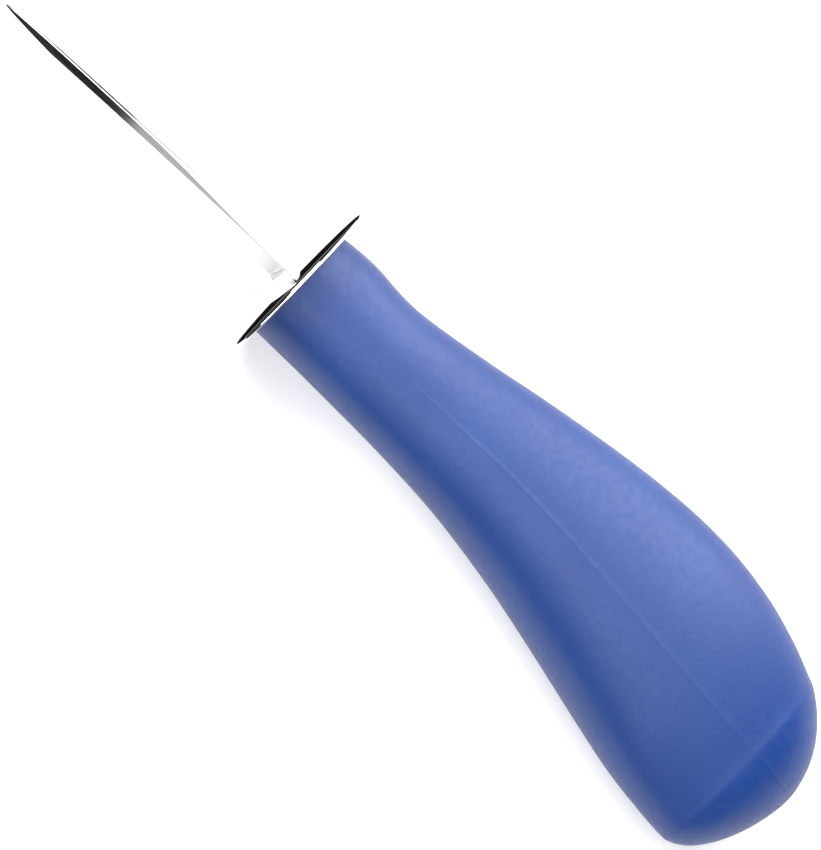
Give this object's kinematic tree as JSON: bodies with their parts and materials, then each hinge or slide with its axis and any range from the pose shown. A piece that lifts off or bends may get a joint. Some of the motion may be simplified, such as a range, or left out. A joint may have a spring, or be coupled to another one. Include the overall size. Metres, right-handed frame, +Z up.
{
  "type": "oyster knife",
  "caption": "Oyster knife: short lancet blade, round domed hand guard and a palm-filling moulded handle that swells towards the butt.",
  "frame": {"origin": "centre of the footprint, on the surface that the knife lies on", "axes": "+X towards the blade's point, +Z up from the surface, the thumb side of the handle towards -Y"},
  "size_m": [0.1756, 0.0408, 0.0354],
  "materials": {
    "blade_steel": "ground bevels, cross-brushed edges",
    "guard_steel": "mirror polished stainless",
    "handle_plastic": "fine spark-eroded grain, satin"
  },
  "bodies": {
    "root": {"blade": "blade_steel", "guard": "guard_steel", "handle": "handle_plastic"}
  },
  "joints": []
}
